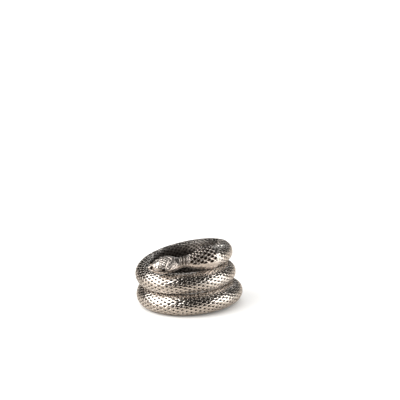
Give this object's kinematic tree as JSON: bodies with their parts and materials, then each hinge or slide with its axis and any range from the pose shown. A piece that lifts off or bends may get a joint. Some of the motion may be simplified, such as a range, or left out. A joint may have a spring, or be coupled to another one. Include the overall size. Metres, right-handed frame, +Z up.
{
  "type": "mesh wrap bracelet",
  "caption": "Coiled wrap bracelet: a hollow tube of scale mesh between a cast snake head with a ribbed neck and a plain tapered tail.",
  "frame": {"origin": "on the surface it rests on, under the middle of the bracelet's box", "axes": "+Z up along the coil, -Y towards the front where the head lies, with its snout towards -X"},
  "size_m": [0.086, 0.0834, 0.053],
  "materials": {
    "cast_metal": "cast silver tone, polished on what stands out and darkened in the dents",
    "scale_mesh": "small domed scales in silver tone, darkened between them",
    "eye": "polished black cabochon"
  },
  "bodies": {
    "root": {"snake_head": "cast_metal", "eye_near": "eye", "eye_far": "eye", "mesh_tube": "scale_mesh", "tail_cap": "cast_metal"}
  },
  "joints": []
}
